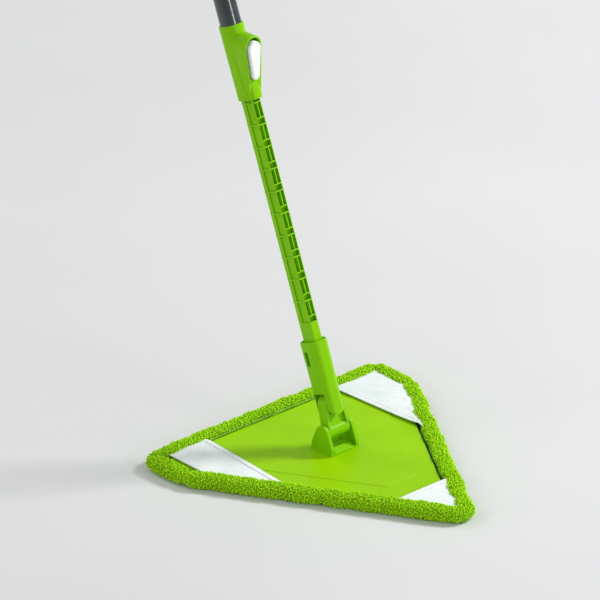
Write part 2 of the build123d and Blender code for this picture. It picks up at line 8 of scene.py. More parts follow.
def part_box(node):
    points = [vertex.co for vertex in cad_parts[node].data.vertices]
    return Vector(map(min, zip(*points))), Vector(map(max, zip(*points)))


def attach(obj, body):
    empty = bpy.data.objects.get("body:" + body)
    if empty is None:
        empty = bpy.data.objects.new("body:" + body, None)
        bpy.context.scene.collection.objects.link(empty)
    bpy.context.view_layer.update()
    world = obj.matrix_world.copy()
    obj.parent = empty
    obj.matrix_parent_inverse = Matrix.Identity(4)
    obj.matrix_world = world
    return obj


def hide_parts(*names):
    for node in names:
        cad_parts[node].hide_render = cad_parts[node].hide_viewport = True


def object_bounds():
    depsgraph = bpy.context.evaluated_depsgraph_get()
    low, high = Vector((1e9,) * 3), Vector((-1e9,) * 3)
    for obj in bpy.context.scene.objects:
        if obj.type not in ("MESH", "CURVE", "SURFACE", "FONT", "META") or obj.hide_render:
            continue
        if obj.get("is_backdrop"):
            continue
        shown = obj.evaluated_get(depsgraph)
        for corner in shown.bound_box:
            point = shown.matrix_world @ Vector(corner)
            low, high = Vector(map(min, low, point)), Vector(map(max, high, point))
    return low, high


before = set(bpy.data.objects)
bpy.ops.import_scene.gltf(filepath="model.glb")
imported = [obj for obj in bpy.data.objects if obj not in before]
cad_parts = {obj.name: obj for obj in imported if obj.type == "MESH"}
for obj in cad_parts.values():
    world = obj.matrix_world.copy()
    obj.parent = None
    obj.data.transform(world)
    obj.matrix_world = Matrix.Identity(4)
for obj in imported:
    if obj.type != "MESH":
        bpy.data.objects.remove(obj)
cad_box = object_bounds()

# The looks of a triangular chenille mop. Metres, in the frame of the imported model.
MM = 0.001
RNG = np.random.default_rng(11)

# Head outline, as in the model. The rim's box gives its width and depth.
RIM_LOW, RIM_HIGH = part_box("pad_rim")
HALF_WIDTH = RIM_HIGH[0]
BACK_Y = RIM_HIGH[1]
FRONT_Y = RIM_LOW[1]
SIDE_CUT_Y = 50 * MM
FRONT_HALF = 9.75 * MM
RIM_WIDTH = 20 * MM
PLATE_TOP = 10 * MM
PLATE_PANEL_RISE = 0.5 * MM

# Rolled rim: a stuffed core with pile all over it
CORNER_OUTER_R = 8.5 * MM
CORNER_INNER_R = 3.5 * MM
CORE_HALF_WIDTH = 8.1 * MM
CORE_HALF_HEIGHT = 6.4 * MM
CORE_MIDDLE_Z = 7.6 * MM
CORE_STEP = 1.6 * MM
CORE_SIDES = 40
CORE_SQUARENESS = 0.86
CORE_LOWEST_Z = 0.9 * MM
SEAM_REACH = 3.6 * MM
CORNER_GATHERS = (0.42, 0.34, 0.2, 0.24, 0.45, 0.45)
FRONT_SIDE_GATHER = 0.22
PILE_SPACING = 1.55 * MM
PILE_HEIGHT = 2.3 * MM
PILE_RADIUS = 0.62 * MM
PILE_SIDES = 5
PILE_RINGS = 4
PILE_SINK = 0.4 * MM

# Underside
SOLE_SPACING = 3.0 * MM
SOLE_PILE_HEIGHT = 2.4 * MM
SOLE_PILE_RADIUS = 1.1 * MM
SOLE_FACE_Z = 2.3 * MM
SOLE_SHOULDER_Z = 3.6 * MM
SOLE_CORNER_R = 7 * MM
SOLE_STEP = 4 * MM

# Pockets
POCKET_INSET = 14.4 * MM
POCKET_SIDE_GAP = 24.5 * MM
HEM_BACK_X = 85.5 * MM
HEM_FRONT_X = 91.5 * MM
FRONT_HEM_Y = -126 * MM
FRONT_TIP_HALF = 3 * MM
FRONT_TIP_SETBACK = 5 * MM
CLOTH_THICKNESS = 0.8 * MM
CLOTH_SLACK = 0.012
CLOTH_START_RISE = 1.3 * MM
CLOTH_CELLS = 60
CLOTH_FRAMES = 24
HEM_BAND = 7 * MM
STITCH_LENGTH = 2.3 * MM
STITCH_PITCH = 3.4 * MM
STITCH_RADIUS = 0.28 * MM
STITCH_BOW = 0.15 * MM
STITCH_SIDES = 6
STITCH_RINGS = 5
RIM_SEAM_POINTS = 80

# CAD parts that share a material
POLE_NODES = (
    "hinge_bracket", "cross_joint", "pole_socket", "ladder_rod", "lock_housing", "grip_cap",
)
NYLON_NODES = ("barrel_bushes", "rod_guide", "guide_bush")
STEEL_NODES = (
    "bracket_screws", "tilt_pin", "sway_pin", "rod_guide_screw", "tube_screw", "lever_pin",
    "lever_spring",
)

# Camera
VIEW_TURN = math.radians(42.0)
VIEW_PITCH = math.radians(25.8)
VIEW_DISTANCE = 6.0
VIEW_LENS = 360
VIEW_SENSOR = 36
VIEW_CENTRE_Y = 23.5 * MM
VIEW_LEFT = 19.3 * MM
VIEW_UP = 148.2 * MM

# Floor
FLOOR_REACH = 30


# ---------------------------------------------------------------- material helpers


class Shader:
    """A material with short calls for the nodes that this script uses."""

    def __init__(self, name, colour, roughness):
        self.material = bpy.data.materials.new(name)
        self.material.use_nodes = True
        self.tree = self.material.node_tree
        self.bsdf = self.tree.nodes["Principled BSDF"]
        self.bsdf.inputs["Base Color"].default_value = (*colour, 1)
        self.bsdf.inputs["Roughness"].default_value = roughness
        self.place = self.tree.nodes.new("ShaderNodeTexCoord").outputs["Object"]

    def link(self, output, node, socket):
        self.tree.links.new(output, node.inputs[socket])

    def stretched(self, scale):
        """Object coordinates, stretched by a different scale along each axis."""
        node = self.tree.nodes.new("ShaderNodeMapping")
        node.inputs["Scale"].default_value = scale
        self.link(self.place, node, "Vector")
        return node.outputs["Vector"]

    def noise(self, size, detail=3.0, place=None):
        """Noise with features of the given size in metres."""
        node = self.tree.nodes.new("ShaderNodeTexNoise")
        node.inputs["Scale"].default_value = 1 / size
        node.inputs["Detail"].default_value = detail
        self.link(place or self.place, node, "Vector")
        return node.outputs["Fac"]

    def ramp(self, factor, *stops):
        """A colour ramp through (position, colour) stops."""
        node = self.tree.nodes.new("ShaderNodeValToRGB")
        elements = node.color_ramp.elements
        while len(elements) < len(stops):
            elements.new(0.5)
        for element, (position, colour) in zip(elements, stops):
            element.position = position
            element.color = (*colour, 1)
        self.link(factor, node, "Fac")
        return node.outputs["Color"]

    def grey(self, factor, low, high, start=0.3, end=0.7):
        """A value that goes from low to high as the factor goes from start to end."""
        node = self.tree.nodes.new("ShaderNodeMapRange")
        node.inputs["From Min"].default_value = start
        node.inputs["From Max"].default_value = end
        node.inputs["To Min"].default_value = low
        node.inputs["To Max"].default_value = high
        self.link(factor, node, "Value")
        return node.outputs["Result"]

    def mix(self, factor, first, second, blend="MIX"):
        """Mix two colours, each an output or a plain colour, by an output or a number."""
        node = self.tree.nodes.new("ShaderNodeMix")
        node.data_type = "RGBA"
        node.blend_type = blend
        for socket, value in ((0, factor), (6, first), (7, second)):
            if isinstance(value, bpy.types.NodeSocket):
                self.link(value, node, socket)
            elif socket == 0:
                node.inputs[0].default_value = value
            else:
                node.inputs[socket].default_value = (*value, 1)
        return node.outputs[2]

    def maths(self, operation, first, second):
        node = self.tree.nodes.new("ShaderNodeMath")
        node.operation = operation
        for socket, value in enumerate((first, second)):
            if isinstance(value, bpy.types.NodeSocket):
                self.link(value, node, socket)
            else:
                node.inputs[socket].default_value = value
        return node.outputs[0]

    def bump(self, height, depth, strength=1.0):
        """Add a bump of the given depth in metres on top of the bumps so far."""
        node = self.tree.nodes.new("ShaderNodeBump")
        node.inputs["Strength"].default_value = strength
        node.inputs["Distance"].default_value = depth
        self.link(height, node, "Height")
        if self.bsdf.inputs["Normal"].is_linked:
            self.link(self.bsdf.inputs["Normal"].links[0].from_socket, node, "Normal")
        self.link(node.outputs["Normal"], self.bsdf, "Normal")

    def set(self, **values):
        for name, value in values.items():
            self.bsdf.inputs[name.replace("_", " ")].default_value = value

    def attribute(self, name):
        node = self.tree.nodes.new("ShaderNodeAttribute")
        node.attribute_name = name
        return node

    def edges(self, radius):
        """How near a point is to a corner of the mesh, from 0 to about 0.5, within a radius."""
        bevel = self.tree.nodes.new("ShaderNodeBevel")
        bevel.inputs["Radius"].default_value = radius
        dot = self.tree.nodes.new("ShaderNodeVectorMath")
        dot.operation = "DOT_PRODUCT"
        self.link(bevel.outputs["Normal"], dot, 0)
        self.link(self.tree.nodes.new("ShaderNodeNewGeometry").outputs["Normal"], dot, 1)
        return self.grey(dot.outputs["Value"], 0.5, 0, 0.8, 0.995)


def srgb(red, shaded_lime, blue):
    """A linear colour from 0-255 screen values."""
    def linear(value):
        value /= 255
        return value / 12.92 if value <= 0.04045 else ((value + 0.055) / 1.055) ** 2.4
    return tuple(linear(value) for value in (red, shaded_lime, blue))


def tint(colour, factor):
    return tuple(min(1.0, channel * factor) for channel in colour)


def moulded_plastic(name, colour, roughness, grain=0.45 * MM):
    """Injection-moulded plastic: fine grain, sink marks, hairline scratches, and edges painted
    lighter, partly as a painted highlight and partly as rubbing wear.
    """
    s = Shader(name, colour, roughness)
    patches = s.noise(45 * MM, 4)
    base = s.mix(s.grey(patches, 0, 1), tint(colour, 0.95), tint(colour, 1.04))
    specks = s.noise(1.1 * MM, 2)
    base = s.mix(s.grey(specks, 0, 0.3, 0.55, 0.75), base, tint(colour, 0.92))
    # Painted highlight and rubbing wear: every edge is painted lighter than the face.
    base = s.mix(s.edges(0.5 * MM), base, tuple(channel * 0.85 + 0.1 for channel in colour))
    s.link(base, s.bsdf, "Base Color")
    scratches = s.noise(9 * MM, 6, s.stretched((0.3, 5, 0.8)))
    hairline = s.grey(scratches, 0, 1, 0.66, 0.7)
    worn = s.grey(s.noise(12 * MM, 3), roughness * 0.85, roughness * 1.2)
    s.link(s.maths("ADD", worn, s.maths("MULTIPLY", hairline, 0.12)), s.bsdf, "Roughness")
    s.bump(s.noise(28 * MM, 1), 0.5 * MM, 0.35)
    s.bump(s.noise(grain, 2), 0.03 * MM, 0.5)
    s.bump(hairline, -0.01 * MM, 0.3)
    s.set(IOR=1.48, Specular_IOR_Level=0.13)
    return s


def pile_material():
    """Chenille pile: painted shade, dark at the roots and bright at the tips, and each tuft a little
    different.
    """
    s = Shader("chenille_pile", srgb(150, 205, 25), 0.85)
    tuft = s.attribute("tuft")
    split = s.tree.nodes.new("ShaderNodeSeparateColor")
    s.link(tuft.outputs["Color"], split, "Color")
    up_the_tuft, own = split.outputs["Red"], split.outputs["Green"]
    # Painted shade: each tuft is darker towards its root, where the tufts shade each other, and
    # brightest at its tip.
    body = s.ramp(
        up_the_tuft,
        (0.0, srgb(134, 198, 0)),
        (0.35, srgb(160, 222, 4)),
        (0.75, srgb(172, 232, 8)),
        (1.0, srgb(188, 242, 30)),
    )
    fibres = s.noise(0.35 * MM, 3)
    body = s.mix(s.grey(fibres, 0, 0.3, 0.4, 0.7), body, srgb(200, 244, 60))
    body = s.mix(s.grey(own, 0.0, 0.3, 0.0, 1.0), body, srgb(138, 204, 0))
    s.link(body, s.bsdf, "Base Color")
    s.bump(s.noise(0.3 * MM, 2), 0.12 * MM, 0.8)
    s.set(Specular_IOR_Level=0.15)
    s.set(Sheen_Weight=0.25, Sheen_Roughness=0.45, Sheen_Tint=(*srgb(190, 240, 60), 1))
    s.set(Subsurface_Weight=0.35, Subsurface_Radius=(0.8, 1.0, 0.2), Subsurface_Scale=1.5 * MM)
    return s.material


def backing_material():
    """The knitted backing that the pile stands on."""
    s = Shader("pile_backing", srgb(70, 118, 6), 0.95)
    loops = s.noise(1.2 * MM, 2)
    knit = s.ramp(loops, (0.35, srgb(112, 172, 0)), (0.65, srgb(146, 210, 8)))
    s.link(knit, s.bsdf, "Base Color")
    s.bump(loops, 0.5 * MM, 0.9)
    return s.material


def cloth_material():
    """Smooth white woven cloth: a fine plain weave, loose fibres and a faint grey cloud that varies
    at random.
    """
    s = Shader("pocket_cloth", srgb(236, 242, 240), 0.8)
    threads = []
    for direction in ("X", "Y"):
        wave = s.tree.nodes.new("ShaderNodeTexWave")
        wave.bands_direction = direction
        wave.inputs["Scale"].default_value = 1 / (5.2 * MM)
        wave.inputs["Distortion"].default_value = 1.2
        wave.inputs["Detail"].default_value = 1
        s.link(s.place, wave, "Vector")
        threads.append(wave.outputs["Fac"])
    weave = s.maths("MULTIPLY", *threads)
    cloud = s.noise(38 * MM, 3)
    base = s.mix(s.grey(cloud, 0, 1), srgb(224, 232, 231), srgb(246, 250, 248))
    base = s.mix(s.grey(weave, 0.22, 0, 0.0, 0.5), base, srgb(196, 206, 206))
    s.link(base, s.bsdf, "Base Color")
    s.bump(weave, 0.10 * MM, 0.5)
    s.bump(s.noise(0.5 * MM, 3), 0.05 * MM, 0.5)
    s.set(Sheen_Weight=0.2, Sheen_Roughness=0.4)
    return s.material


def thread_material(name, colour):
    """Sewing thread with a twist."""
    s = Shader(name, colour, 0.6)
    twist = s.noise(0.5 * MM, 2, s.stretched((1, 1, 2)))
    s.link(s.mix(s.grey(twist, 0, 1), tint(colour, 0.8), tint(colour, 1.1)), s.bsdf, "Base Color")
    s.bump(twist, 0.08 * MM, 0.7)
    return s.material


def tube_material():
    """Dark glossy lacquer on a drawn tube: orange peel, lengthwise draw lines and dust specks."""
    dark = srgb(46, 55, 56)
    s = Shader("dark_lacquer", dark, 0.3)
    patches = s.noise(60 * MM, 3)
    base = s.mix(s.grey(patches, 0, 1), tint(dark, 0.85), tint(dark, 1.2))
    dust = s.grey(s.noise(0.9 * MM, 1), 0, 0.35, 0.7, 0.78)
    s.link(s.mix(dust, base, srgb(120, 126, 126)), s.bsdf, "Base Color")
    draw = s.noise(2 * MM, 4, s.stretched((3.0, 3.0, 0.05)))
    s.link(s.grey(draw, 0.24, 0.38), s.bsdf, "Roughness")
    s.bump(s.noise(2.4 * MM, 2), 0.02 * MM, 0.35)
    s.bump(draw, 0.01 * MM, 0.4)
    s.set(Coat_Weight=0.7, Coat_Roughness=0.06, IOR=1.5)
    return s.material


def steel_material():
    """Plain zinc-plated steel with fine turning marks."""
    grey = srgb(176, 178, 180)
    s = Shader("plated_steel", grey, 0.3)
    marks = s.noise(0.8 * MM, 4, s.stretched((1, 1, 6)))
    s.link(s.mix(s.grey(marks, 0, 1), tint(grey, 0.8), tint(grey, 1.1)), s.bsdf, "Base Color")
    s.link(s.grey(marks, 0.22, 0.42), s.bsdf, "Roughness")
    s.bump(marks, 0.02 * MM, 0.5)
    s.set(Metallic=1.0)
    return s.material


def grip_material():
    """Soft-touch plastic with a leathery grain."""
    colour = srgb(120, 182, 12)
    s = moulded_plastic("soft_grip", colour, 0.55, 0.9 * MM)
    s.bump(s.noise(0.9 * MM, 3), 0.12 * MM, 0.8)
    return s.material


# ---------------------------------------------------------------- mesh helpers


def mesh_object(name, points, faces, material, smooth=True):
    """A mesh object from an array of points and a list of faces."""
    mesh = bpy.data.meshes.new(name)
    mesh.from_pydata(np.asarray(points).tolist(), [], faces)
    mesh.validate()
    mesh.update()
    for polygon in mesh.polygons:
        polygon.use_smooth = smooth
    mesh.materials.append(material)
    piece = bpy.data.objects.new(name, mesh)
    bpy.context.scene.collection.objects.link(piece)
    return piece


def quad_mesh(name, points, quads, tris, material):
    """A large smooth mesh from arrays, built without Python lists."""
    mesh = bpy.data.meshes.new(name)
    mesh.vertices.add(len(points))
    mesh.vertices.foreach_set("co", points.astype(np.float32).ravel())
    corners = np.concatenate([quads.ravel(), tris.ravel()])
    starts = np.concatenate([np.arange(len(quads)) * 4, len(quads) * 4 + np.arange(len(tris)) * 3])
    sizes = np.concatenate([np.full(len(quads), 4), np.full(len(tris), 3)])
    mesh.loops.add(len(corners))
    mesh.loops.foreach_set("vertex_index", corners.astype(np.int32))
    mesh.polygons.add(len(starts))
    mesh.polygons.foreach_set("loop_start", starts.astype(np.int32))
    mesh.polygons.foreach_set("loop_total", sizes.astype(np.int32))
    mesh.polygons.foreach_set("use_smooth", np.ones(len(starts), bool))
    mesh.update(calc_edges=True)
    mesh.materials.append(material)
    piece = bpy.data.objects.new(name, mesh)
    bpy.context.scene.collection.objects.link(piece)
    return piece


def flat_sheet(name, low, high, z, material):
    """A flat rectangle at one height, given by its lowest and highest corners."""
    corners = [(low[0], low[1], z), (high[0], low[1], z), (high[0], high[1], z), (low[0], high[1], z)]
    return mesh_object(name, np.array(corners, float), [(0, 1, 2, 3)], material, False)


def unit(rows):
    return rows / np.linalg.norm(rows, axis=-1, keepdims=True)


def grid_faces(across, along, wrap_across, wrap_along):
    """Quads of a grid of points numbered along first."""
    faces = []
    for i in range(across if wrap_across else across - 1):
        for j in range(along if wrap_along else along - 1):
            i2, j2 = (i + 1) % across, (j + 1) % along
            faces.append((i * along + j, i2 * along + j, i2 * along + j2, i * along + j2))
    return faces


# ---------------------------------------------------------------- head outline


def slanted_line():
    """The normal of the right slanted edge and its distance from the origin."""
    run = np.array([HALF_WIDTH - FRONT_HALF, SIDE_CUT_Y - FRONT_Y])
    normal = np.array([run[1], -run[0]]) / np.hypot(*run)
    return normal, normal @ np.array([HALF_WIDTH, SIDE_CUT_Y])


def slanted_y(x, inset):
    """Where the inset right slanted edge crosses an x."""
    normal, reach = slanted_line()
    return (reach - inset - normal[0] * x) / normal[1]


def outline_corners(inset):
    """Corners of the head moved inward, clockwise from the back right."""
    normal, reach = slanted_line()
    side_x, back_y = HALF_WIDTH - inset, BACK_Y - inset
    tip_half = max(0.8 * MM, (reach - inset - normal[1] * (FRONT_Y + inset)) / normal[0])
    right = [
        (side_x, back_y),
        (side_x, slanted_y(side_x, inset)),
        (tip_half, slanted_y(tip_half, inset)),
    ]
    return np.array([*right, *((-x, y) for x, y in reversed(right))])


def rounded_path(corners, radius):
    """A closed polygon's points with rounded corners, and the index of the middle of each corner."""
    path, middles = [], []
    for index, corner in enumerate(corners):
        before = corners[index - 1] - corner
        after = corners[(index + 1) % len(corners)] - corner
        half = math.acos(unit(before) @ unit(after)) / 2
        room = 0.48 * min(np.linalg.norm(before), np.linalg.norm(after))
        r = min(radius, room * math.tan(half))
        centre = corner + unit(unit(before) + unit(after)) * r / math.sin(half)
        first = corner + unit(before) * r / math.tan(half) - centre
        last = corner + unit(after) * r / math.tan(half) - centre
        middles.append(len(path) + 6)
        for t in np.linspace(0, 1, 13):
            path.append(centre + unit(first * (1 - t) + last * t) * r)
    return np.array(path), middles


def side_counts(inset, step):
    """How many points each side of the outline gets, for a given step between them."""
    corners = outline_corners(inset)
    lengths = np.linalg.norm(np.roll(corners, -1, axis=0) - corners, axis=1)
    return np.maximum(4, np.round(lengths / step).astype(int))


def outline_loop(inset, radius, counts):
    """The outline moved inward, with the same number of points on each side whatever the inset."""
    path, middles = rounded_path(outline_corners(inset), radius)
    path = np.roll(path, -middles[0], axis=0)
    starts = [middle - middles[0] for middle in middles] + [len(path)]
    path = np.concatenate([path, path[:1]])
    points = []
    for start, end, count in zip(starts[:-1], starts[1:], counts):
        side = path[start : end + 1]
        distance = np.concatenate([[0], np.cumsum(np.linalg.norm(np.diff(side, axis=0), axis=1))])
        even = np.arange(count) * distance[-1] / count
        columns = [np.interp(even, distance, side[:, axis]) for axis in (0, 1)]
        points.append(np.stack(columns, axis=1))
    return np.concatenate(points)


def wave_round(place, low, high, size):
    """A smooth random wobble that closes on itself; place goes from 0 to 1 round the loop."""
    total = np.zeros_like(place)
    for count in range(low, high):
        phase = RNG.uniform(0, 2 * math.pi)
        total += np.sin(2 * math.pi * count * place + phase) / math.sqrt(high - low)
    return total * size


# ---------------------------------------------------------------- pile


def tufts(name, roots, normals, height, radius, material, floor_z=0.0):
    """Curly tufts of pile as one mesh: each is a short worm that bends over and tapers."""
    count = len(roots)
    helper = np.where(np.abs(normals[:, 2:3]) > 0.9, [[1.0, 0, 0]], [[0, 0, 1.0]])
    side_a = unit(np.cross(normals, helper))
    side_b = np.cross(normals, side_a)
    turn = RNG.uniform(0, 2 * math.pi, count)
    twist = RNG.uniform(-1.6, 1.6, count)
    bend = RNG.uniform(0.9, 2.7, count)
    length = height * RNG.uniform(0.75, 1.3, count)
    girth = radius * RNG.uniform(0.8, 1.25, count)
    rings = []
    for step in range(PILE_RINGS):
        u = step / (PILE_RINGS - 1)
        angle = (turn + twist * u)[:, None]
        lean = np.cos(angle) * side_a + np.sin(angle) * side_b
        rise = (length * np.sin(bend * u) / bend)[:, None]
        away = (length * (1 - np.cos(bend * u)) / bend)[:, None]
        rings.append(roots + normals * rise * 1.25 + lean * away)
    centres = np.stack(rings, axis=1)
    ahead = unit(np.gradient(centres, axis=1))
    frame_a = unit(np.cross(ahead, side_b[:, None, :] + 0.3 * normals[:, None, :]))
    frame_b = np.cross(ahead, frame_a)
    profile = np.array([0.85, 1.05, 1.05, 0.78])[None, :, None, None]
    angles = np.arange(PILE_SIDES) * 2 * math.pi / PILE_SIDES
    spoke = np.cos(angles)[None, None, :, None] * frame_a[:, :, None, :]
    spoke = spoke + np.sin(angles)[None, None, :, None] * frame_b[:, :, None, :]
    shell = centres[:, :, None, :] + spoke * profile * girth[:, None, None, None]
    tips = centres[:, -1] + ahead[:, -1] * girth[:, None] * 0.45
    per_tuft = PILE_RINGS * PILE_SIDES + 1
    points = np.concatenate([shell.reshape(count, -1, 3), tips[:, None, :]], axis=1)
    points[:, :, 2] = np.maximum(points[:, :, 2], floor_z)
    quads, tris = [], []
    for ring in range(PILE_RINGS - 1):
        for k in range(PILE_SIDES):
            k2 = (k + 1) % PILE_SIDES
            low, high = ring * PILE_SIDES, (ring + 1) * PILE_SIDES
            quads.append((low + k, low + k2, high + k2, high + k))
    last = (PILE_RINGS - 1) * PILE_SIDES
    for k in range(1, PILE_SIDES - 1):
        tris.append((0, k + 1, k))
    for k in range(PILE_SIDES):
        tris.append((last + k, last + (k + 1) % PILE_SIDES, per_tuft - 1))
    offset = (np.arange(count) * per_tuft)[:, None, None]
    piece = quad_mesh(
        name,
        points.reshape(-1, 3),
        (np.array(quads)[None] + offset).reshape(-1, 4),
        (np.array(tris)[None] + offset).reshape(-1, 3),
        material,
    )
    # Height up each tuft, which the pile material turns into painted shade at the roots.
    up = np.concatenate([np.repeat(np.linspace(0, 0.9, PILE_RINGS), PILE_SIDES), [1.0]])
    shade = np.zeros((count, per_tuft, 4), np.float32)
    shade[:, :, 0] = up[None, :]
    shade[:, :, 1] = RNG.uniform(0, 1, count)[:, None]
    shade[:, :, 3] = 1
    colours = piece.data.color_attributes.new("tuft", "FLOAT_COLOR", "POINT")
    colours.data.foreach_set("color", shade.ravel())
    return piece


# ---------------------------------------------------------------- rim and sole


def rim_surface():
    """The rim's stuffed core, its grid of surface points, and the first point of each side."""
    counts = side_counts(RIM_WIDTH / 2, CORE_STEP)
    total = int(counts.sum())
    firsts = np.concatenate([[0], np.cumsum(counts)])
    place = np.arange(total) / total
    angles = np.arange(CORE_SIDES) * 2 * math.pi / CORE_SIDES
    flat = np.sign(np.cos(angles)) * np.abs(np.cos(angles)) ** CORE_SQUARENESS
    tall = np.sign(np.sin(angles)) * np.abs(np.sin(angles)) ** CORE_SQUARENESS
    middle = outline_loop(RIM_WIDTH / 2, (CORNER_OUTER_R + CORNER_INNER_R) / 2, counts)
    ahead = unit(np.roll(middle, -1, axis=0) - np.roll(middle, 1, axis=0))
    outward = np.stack([-ahead[:, 1], ahead[:, 0]], axis=1)
    shift = wave_round(place, 8, 30, 0.8 * MM)
    swell = 1 + wave_round(place, 14, 60, 0.05)
    side_middle = (firsts[3] + firsts[4]) / 2
    seams = [*zip(firsts[:6], CORNER_GATHERS), (side_middle, FRONT_SIDE_GATHER)]
    for first, depth in seams:
        gap = np.abs(np.arange(total) - first)
        gap = np.minimum(gap, total - gap) * CORE_STEP
        swell = swell * (1 - depth * np.exp(-((gap / SEAM_REACH) ** 2)))
    points = np.zeros((total, CORE_SIDES, 3))
    for index in range(CORE_SIDES):
        inward = (1 - flat[index]) / 2
        radius = CORNER_OUTER_R * (1 - inward) + CORNER_INNER_R * inward
        ring = outline_loop(RIM_WIDTH / 2 - CORE_HALF_WIDTH * flat[index], radius, counts)
        points[:, index, :2] = middle + (ring - middle) * swell[:, None] + outward * shift[:, None]
        points[:, index, 2] = CORE_MIDDLE_Z + CORE_HALF_HEIGHT * swell * tall[index]
    points[:, :, 2] = np.maximum(points[:, :, 2], CORE_LOWEST_Z)
    faces = grid_faces(total, CORE_SIDES, True, True)
    core = mesh_object("rim_core", points.reshape(-1, 3), faces, backing_material())
    return core, points, firsts


def rim_pile(points, firsts, material):
    """Pile over the rim in six lengths, one for each side of the head."""
    total = len(points)
    columns = int(total * CORE_STEP / PILE_SPACING)
    rows = int(2 * math.pi * 7.4 * MM / PILE_SPACING)
    i = (np.repeat(np.arange(columns), rows) + RNG.uniform(-0.45, 0.45, columns * rows)) / columns
    j = (np.tile(np.arange(rows), columns) + RNG.uniform(-0.45, 0.45, columns * rows)) / rows
    i, j = i % 1 * total, j % 1 * CORE_SIDES
    i0, j0 = i.astype(int) % total, j.astype(int) % CORE_SIDES
    i1, j1 = (i0 + 1) % total, (j0 + 1) % CORE_SIDES
    fi, fj = (i % 1)[:, None], (j % 1)[:, None]
    low = points[i0, j0] * (1 - fi) + points[i1, j0] * fi
    high = points[i0, j1] * (1 - fi) + points[i1, j1] * fi
    roots = low * (1 - fj) + high * fj
    centre = points[i0].mean(axis=1)
    normals = np.cross(points[i1, j0] - points[i0, j0], points[i0, j1] - points[i0, j0])
    normals = unit(normals + (roots - centre) * 1e-9)
    normals *= np.sign(np.sum(normals * (roots - centre), axis=1))[:, None]
    inner = np.linalg.norm(roots[:, :2], axis=1) < np.linalg.norm(centre[:, :2], axis=1)
    shown = (roots[:, 2] > 1.4 * MM) & ~(inner & (roots[:, 2] < PLATE_TOP + 1.4 * MM))
    roots, normals, i = roots[shown] - normals[shown] * PILE_SINK, normals[shown], i[shown]
    names = ("right", "right_slant", "front", "left_slant", "left", "back")
    pieces = []
    for name, first, last in zip(names, firsts[:-1], firsts[1:]):
        own = (i >= first) & (i < last)
        piece = f"rim_pile_{name}"
        pieces.append(tufts(piece, roots[own], normals[own], PILE_HEIGHT, PILE_RADIUS, material))
    return pieces


def inside(points, corners):
    """Which points lie inside a clockwise convex polygon."""
    result = np.ones(len(points), bool)
    for index, corner in enumerate(corners):
        edge = corners[(index + 1) % len(corners)] - corner
        offset = points - corner
        result &= edge[0] * offset[:, 1] - edge[1] * offset[:, 0] < 0
    return result


def make_sole(material):
    """The pad's sole: a soft quilted slab with pile underneath, pressed flat by the floor."""
    top_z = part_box("pad_sole")[1][2]
    counts = side_counts(RIM_WIDTH, SOLE_STEP)
    count = int(counts.sum())
    levels = [
        (2.0, SOLE_FACE_Z),
        (-0.4, SOLE_FACE_Z + 0.4 * MM),
        (-1.0, SOLE_SHOULDER_Z),
        (-0.7, top_z),
    ]
    rings = []
    for inset, z in levels:
        ring = outline_loop(RIM_WIDTH + inset * MM, SOLE_CORNER_R, counts)
        rings.append(np.column_stack([ring, np.full(count, z)]))
    faces = grid_faces(len(levels), count, False, True)
    top = (len(levels) - 1) * count
    faces += [tuple(range(count)), tuple(reversed(range(top, top + count)))]
    sole = mesh_object("sole_core", np.concatenate(rings), faces, backing_material())
    low, high = outline_corners(RIM_WIDTH).min(axis=0), outline_corners(RIM_WIDTH).max(axis=0)
    xs = np.arange(low[0], high[0], SOLE_SPACING)
    ys = np.arange(low[1], high[1], SOLE_SPACING)
    flat = np.stack(np.meshgrid(xs, ys), axis=-1).reshape(-1, 2)
    flat = flat + RNG.uniform(-0.4, 0.4, flat.shape) * SOLE_SPACING
    flat = flat[inside(flat, outline_corners(RIM_WIDTH - 2 * MM))]
    roots = np.column_stack([flat, np.full(len(flat), SOLE_FACE_Z + 0.3 * MM)])
    normals = np.tile([0.0, 0.0, -1.0], (len(flat), 1))
    pile = tufts("sole_pile", roots, normals, SOLE_PILE_HEIGHT, SOLE_PILE_RADIUS, material)
    return sole, pile


# ---------------------------------------------------------------- pockets


def cloth_patch(name, corners, lift, material):
    """One pocket: a four-cornered patch whose first edge, at u = 0, is the open hem."""
    n = CLOTH_CELLS
    u, v = np.meshgrid(np.linspace(0, 1, n), np.linspace(0, 1, n), indexing="ij")
    hem_start, outer_start, outer_end, hem_end = (np.array(corner) for corner in corners)
    start_edge = hem_start + (outer_start - hem_start) * u[..., None]
    end_edge = hem_end + (outer_end - hem_end) * u[..., None]
    flat = start_edge + (end_edge - start_edge) * v[..., None]
    bow = lift * np.sin(np.pi * v) * np.clip(1 - u * 1.4, 0, 1) ** 1.5
    height = PLATE_TOP + CLOTH_START_RISE + bow
    points = np.concatenate([flat, height[..., None]], axis=-1)
    piece = mesh_object(name, points.reshape(-1, 3), grid_faces(n, n, False, False), material)
    pinned = np.flatnonzero(((u == 1) | (v == 0) | (v == 1)).ravel())
    drape(piece, pinned.tolist())
    settled = np.array([vertex.co[:] for vertex in piece.data.vertices]).reshape(n, n, 3)
    lowest = PLATE_TOP + PLATE_PANEL_RISE + CLOTH_THICKNESS
    settled[..., 2] = np.maximum(settled[..., 2], lowest)
    piece.data.vertices.foreach_set("co", settled.astype(np.float32).ravel())
    thicken(piece, CLOTH_THICKNESS)
    return piece, settled


